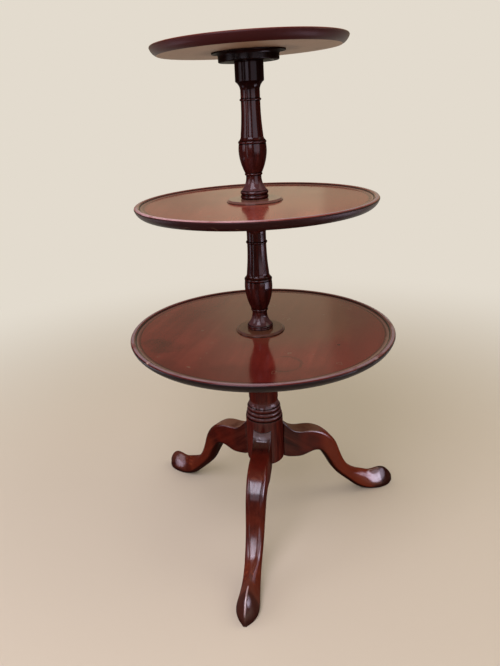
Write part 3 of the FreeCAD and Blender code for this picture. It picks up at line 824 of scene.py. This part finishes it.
@dataclass(frozen=True)
class Lamp:
    """A soft box. Its bearing runs from the front to the right and its height from level, in degrees.

    Lengths are in metres. One that only gleams stands for a window or card that the polish shows, and lights nothing
    else.
    """

    name: str
    bearing: float
    height: float
    distance: float
    size: tuple[float, float]
    power: float
    tint: str = "#f6ecff"
    gleam: bool = False

    def build(self, target: Vector) -> None:
        """Hang the lamp so that it looks at the target.

        Args:
            target: Point that it looks at.
        """
        data = bpy.data.lights.new(self.name, "AREA")
        data.shape = "RECTANGLE"
        data.size, data.size_y = self.size
        data.energy = self.power
        data.color = linear(self.tint)[:3]
        lamp = bpy.data.objects.new(self.name, data)
        lamp.visible_diffuse = not self.gleam
        tilt, swing = math.radians(self.height), math.radians(self.bearing)
        way = Vector((math.sin(swing) * math.cos(tilt), -math.cos(swing) * math.cos(tilt), math.sin(tilt)))
        lamp.location = target + self.distance * way
        lamp.rotation_euler = (-way).to_track_quat("-Z", "Y").to_euler()
        bpy.context.scene.collection.objects.link(lamp)


@dataclass
class Studio:
    """Plain pale floor, soft light and the camera of the photograph.

    The eye's place and the sensor are in millimetres, yaw, pitch and roll in radians, the azimuth in degrees, and
    the focal length and centre in pixels. Other lengths are in metres, and places on the wall are parts of a unit
    direction.
    """

    wall: str = "#e3dbce"
    floor: str = "#dcd1bd"
    mirror: str = "#ecd9b8"
    sky: str = "#f3ece0"
    eye_distance: float = 1332.58
    eye_height: float = 1008.3
    azimuth: float = 9.2
    yaw: float = -0.08095
    pitch: float = 0.24012
    roll: float = 0.06318
    focal: float = 598.996
    picture: tuple[int, int] = (500, 666)
    centre: tuple[float, float] = (209.94, 253.98)
    sensor: float = 36.0
    clip: tuple[float, float] = (0.05, 60.0)
    fill: float = 0.57
    room: float = 0.06
    room_to_wall: tuple[float, float] = (0.3, 0.85)
    wall_low: float = 0.66
    wall_high: float = 0.5
    wall_rise: tuple[float, float] = (0.2, 0.38)
    wall_light: float = 0.95
    # Ends of the bright stretch of wall that the trays mirror
    light_left: tuple[float, float] = (-0.14, -0.02)
    light_right: tuple[float, float] = (0.105, 0.12)
    light_depth: float = 0.5
    floor_half: float = 9.0
    floor_fade: tuple[float, float] = (0.6, 2.2)
    floor_to_room: tuple[float, float] = (0.0, 0.9)
    floor_mirrored: tuple[float, float] = (0.3, 0.8)
    target: Vector = field(default_factory=lambda: Vector((0, -0.05, 0.45)))
    lamps: tuple[Lamp, ...] = (
        Lamp("high_window", -13, 48, 2.6, (1.5, 1.7), 37),
        Lamp("left_window", -70, 20, 2.5, (1.2, 1.0), 9, "#f8f0ff"),
        Lamp("left_gap", -38, 8, 2.3, (0.22, 1.6), 2, "#f8f0ff"),
        Lamp("right_sky", 105, 42, 2.6, (1.4, 1.4), 9, "#fff4e6"),
        Lamp("right_window", 45, 17, 2.5, (2.1, 1.9), 17, gleam=True),
        Lamp("ceiling_card", -13, 73, 2.4, (1.5, 0.9), 20, gleam=True),
        Lamp("low_window", -9, 22, 2.4, (0.9, 0.6), 5, gleam=True),
        Lamp("right_card", 87, -9, 0.96, (0.7, 0.4), 6, "#f2e6ff", gleam=True),
        Lamp("left_card", -84, -10, 1.48, (0.6, 0.45), 5, "#f2e6ff", gleam=True),
    )

    def camera(self) -> None:
        """Stand the camera where the photograph was taken."""
        data = bpy.data.cameras.new("camera")
        data.sensor_width = self.sensor
        width, height = self.picture
        data.lens = self.focal * self.sensor / height
        data.shift_x = (width / 2 - self.centre[0]) / height
        data.shift_y = (self.centre[1] - height / 2) / height
        data.clip_start, data.clip_end = self.clip
        ahead = Vector((math.sin(self.yaw), math.cos(self.yaw), 0))
        side = Vector((math.cos(self.yaw), -math.sin(self.yaw), 0))
        down = Vector((0, 0, -1))
        tipped = ahead * math.cos(self.pitch) + down * math.sin(self.pitch)
        under = down * math.cos(self.pitch) - ahead * math.sin(self.pitch)
        right = side * math.cos(self.roll) + under * math.sin(self.roll)
        below = under * math.cos(self.roll) - side * math.sin(self.roll)
        look = Matrix((right, -below, -tipped)).transposed().to_4x4()
        look.translation = Vector((0, -self.eye_distance * MM, self.eye_height * MM))
        camera = bpy.data.objects.new("camera", data)
        camera.matrix_world = Matrix.Rotation(math.radians(self.azimuth), 4, "Z") @ look
        bpy.context.scene.collection.objects.link(camera)
        bpy.context.scene.camera = camera

    def world(self) -> None:
        """Light all round; the camera sees a plain wall, and the polish sees that wall and a dim room before it."""
        world = bpy.data.worlds.new("studio")
        bpy.context.scene.world = world
        world.use_nodes = True
        tree = world.node_tree
        tree.nodes.clear()
        way = add(tree, "ShaderNodeTexCoord").outputs["Generated"]
        turn = math.radians(self.azimuth)
        depth = add(tree, "ShaderNodeVectorMath", [way, (-math.sin(turn), math.cos(turn), 0)],
                    operation="DOT_PRODUCT").outputs["Value"]
        side = add(tree, "ShaderNodeVectorMath", [way, (math.cos(turn), math.sin(turn), 0)],
                   operation="DOT_PRODUCT").outputs["Value"]
        rise = add(tree, "ShaderNodeSeparateXYZ", [way]).outputs["Z"]
        shade = add(tree, "ShaderNodeMapRange", [rise, *self.wall_rise, self.wall_low, self.wall_high]).outputs[0]
        back = add(tree, "ShaderNodeMapRange", [depth, *self.room_to_wall, self.room, shade],
                   interpolation_type="SMOOTHSTEP").outputs[0]
        left = add(tree, "ShaderNodeMapRange", [side, *self.light_left], interpolation_type="SMOOTHSTEP").outputs[0]
        right = add(tree, "ShaderNodeMapRange", [side, *self.light_right, 1, 0],
                    interpolation_type="SMOOTHSTEP").outputs[0]
        ahead = add(tree, "ShaderNodeMath", [depth, self.light_depth], operation="GREATER_THAN").outputs[0]
        lit = add(tree, "ShaderNodeMath", [left, right], operation="MULTIPLY").outputs[0]
        lit = add(tree, "ShaderNodeMath", [lit, ahead], operation="MULTIPLY").outputs[0]
        level = add(tree, "ShaderNodeMix", {0: lit, 2: back, 3: self.wall_light}).outputs[0]
        path = add(tree, "ShaderNodeLightPath").outputs
        fill = add(tree, "ShaderNodeBackground", {"Color": linear(self.sky), "Strength": self.fill})
        mirrored = add(tree, "ShaderNodeBackground", {"Color": linear(self.mirror), "Strength": level})
        plain = add(tree, "ShaderNodeBackground", {"Color": linear(self.wall)})
        gloss = add(tree, "ShaderNodeMath", [path["Is Glossy Ray"], path["Is Transmission Ray"]], operation="MAXIMUM")
        mixed = add(tree, "ShaderNodeMixShader", [gloss.outputs[0], fill.outputs[0], mirrored.outputs[0]])
        mixed = add(tree, "ShaderNodeMixShader", [path["Is Camera Ray"], mixed.outputs[0], plain.outputs[0]])
        add(tree, "ShaderNodeOutputWorld", [mixed.outputs[0]])

    def ground(self) -> None:
        """Lay the floor, which fades to the wall's colour far off."""
        work = bmesh.new()
        bmesh.ops.create_grid(work, x_segments=2, y_segments=2, size=self.floor_half)
        mesh = bpy.data.meshes.new("floor")
        work.to_mesh(mesh)
        work.free()
        floor = bpy.data.objects.new("floor", mesh)
        # Matt paper shows soft shadows and no gleam
        material = bpy.data.materials.new("matt_studio_paper")
        material.use_nodes = True
        tree = material.node_tree
        tree.nodes.clear()
        place = add(tree, "ShaderNodeTexCoord").outputs["Object"]
        far = add(tree, "ShaderNodeVectorMath", [place], operation="LENGTH").outputs["Value"]
        fade = add(tree, "ShaderNodeMapRange", [far, *self.floor_fade], interpolation_type="SMOOTHSTEP").outputs[0]
        paper = add(tree, "ShaderNodeBsdfPrincipled",
                    {"Base Color": linear(self.floor), "Roughness": 0.9, "Specular IOR Level": 0.1})
        plain = add(tree, "ShaderNodeEmission", {"Color": linear(self.wall)})
        path = add(tree, "ShaderNodeLightPath").outputs
        turn = math.radians(self.azimuth)
        depth = add(tree, "ShaderNodeVectorMath", [place, (-math.sin(turn), math.cos(turn), 0)],
                    operation="DOT_PRODUCT").outputs["Value"]
        level = add(tree, "ShaderNodeMapRange", [depth, *self.floor_to_room, self.room, 1.0]).outputs[0]
        mirrored = add(tree, "ShaderNodeEmission", {"Color": linear(self.wall), "Strength": level})
        beyond = add(tree, "ShaderNodeMapRange", [far, *self.floor_mirrored],
                     interpolation_type="SMOOTHSTEP").outputs[0]
        gloss = add(tree, "ShaderNodeMath", [path["Is Glossy Ray"], path["Is Transmission Ray"]], operation="MAXIMUM")
        gloss = add(tree, "ShaderNodeMath", [gloss.outputs[0], beyond], operation="MULTIPLY").outputs[0]
        share = add(tree, "ShaderNodeMath", [path["Is Camera Ray"], fade], operation="MULTIPLY").outputs[0]
        shader = add(tree, "ShaderNodeMixShader", [gloss, paper.outputs[0], mirrored.outputs[0]])
        shader = add(tree, "ShaderNodeMixShader", [share, shader.outputs[0], plain.outputs[0]])
        add(tree, "ShaderNodeOutputMaterial", [shader.outputs[0]])
        mesh.materials.append(material)
        bpy.context.scene.collection.objects.link(floor)

    def build(self) -> None:
        """Set up camera, light and floor."""
        bpy.context.scene.view_settings.view_transform = "Standard"
        self.camera()
        self.world()
        for lamp in self.lamps:
            lamp.build(self.target)
        self.ground()


def tiers() -> list[Tier]:
    """Describe the three trays, each with the marks of its own use.

    Returns:
        The trays from the lowest up.
    """
    lower = (
        # Browner board towards the back, deeper red at the front edge and the right end
        Band((Limits(RADIUS, -5, 120, 130),), "#6f4630", 0.55, 150, 1.2, centre=(70, 110), ragged=25),
        Band((Limits(ACROSS, 215, 330, 25),), "#63271f", 0.6, 120, 1.2, turn=2, ragged=8),
        Band((Limits(ALONG, -330, -240, 60),), "#521612", 0.7, 140, 1.3, ragged=20),
        # Old smudges, part of a ring left by a glass, and a small dark spot
        Band((Limits(RADIUS, -5, 26, 22),), "#2c100c", 0.42, 40, 0.9, centre=(-192, -128), ragged=14),
        Band((Limits(RADIUS, -5, 16, 16),), "#2c100c", 0.38, 30, 0.9, centre=(-228, -100), ragged=10),
        Band((Limits(RADIUS, 35, 37, 4), Limits(ACROSS, 0, 60, 25)), "#2c120c", 0.42, 45, 1.0,
             centre=(75, -190), ragged=2),
        Band((Limits(RADIUS, -5, 3, 2),), "#1c0b08", 0.6, centre=(182, -82), ragged=2),
        # Chips on the rim
        Band((Limits(RADIUS, -5, 5, 2),), "#c9a493", 0.9, 8, 1.0, centre=(-207, -221), ragged=3),
        Band((Limits(RADIUS, -5, 4, 2),), "#c9a493", 0.9, 8, 1.0, centre=(257, -158), ragged=3),
    )
    middle = (
        # A browner and a redder place, and a faint ring left by a glass
        Band((Limits(RADIUS, -5, 90, 110),), "#8a5038", 0.5, 130, 1.2, centre=(150, 20), ragged=25),
        Band((Limits(RADIUS, -5, 60, 80),), "#6c2a20", 0.5, 90, 1.0, centre=(-150, 40), ragged=25),
        Band((Limits(RADIUS, 36, 39, 2.5),), "#45211a", 0.25, 45, 0.9, centre=(-95, -105), ragged=2),
    )
    # A painted highlight on the middle rim's worn crest, in front and to the left
    rubbed = Band((Limits(RADIUS, 262, 268.3, 0.8), Limits(HEIGHT, 802.2, 806.5, 0.6),
                   Limits(ACROSS, -170, 0, 110), Limits(ALONG, -280, 0, 40)), "#c79ea2", 0.9, 55, 1.1)
    return [
        Tier("lower", radius=305, crest=499, grain=82, collar=True, seed=3, dark="#64211a", middle="#722820",
             light="#7e3026", stains=lower, polish_ior=1.3, edge="#110706"),
        Tier("middle", radius=270, crest=804.5, grain=96, collar=True, seed=7, dark="#7d362b", middle="#8c4034",
             light="#9b4e3e", stains=middle, rubbed=(rubbed,), edge="#241112",
             collar_tones=("#6a4236", "#785043", "#865e50")),
        Tier("top", radius=209, crest=1139, grain=88, collar=False, seed=11, dark="#682818", middle="#76311e",
             light="#833b25", worn="#806068", edge="#3b191a"),
    ]


def main() -> None:
    """Build the studio and each sub-assembly."""
    logging.basicConfig(level=logging.INFO, format="%(name)s %(message)s")
    Studio().build()
    tree = RingTree("ring_of_fastenings")
    fastenings = Fastenings()
    screw, nail = fastenings.screw(), fastenings.nail(NAIL_SEED)
    iron = OldMetal("oxidised_wrought_iron", "#2b2522", "#4a4440", "#4d2c1c", patch=14, pit=2.2,
                    roughness=(0.45, 0.75), metallic=0.8).build()
    steel = OldMetal("dulled_steel", "#6d6862", "#8a857e", "#5c3f2c", patch=6, pit=1.2,
                     roughness=(0.32, 0.6), metallic=0.9).build()
    # The bosses' near-black tones are painted shade, standing for the shadow under the trays
    turned = PolishedMahogany("satin_mahogany_bosses", "#120807", "#1a0c0a", "#241210", turn=(0, 0, 70),
                              figure=(160, 10), roughness=(0.35, 0.5), ior=1.03, coat=0.4,
                              coat_roughness=0.25).build()
    for tier in tiers():
        tier.build(tree, screw, steel, turned)
    Column().build()
    Tripod().build(tree, nail, iron)
    for pattern in (screw, nail):
        bpy.data.objects.remove(pattern)


if __name__ == "__main__":
    main()
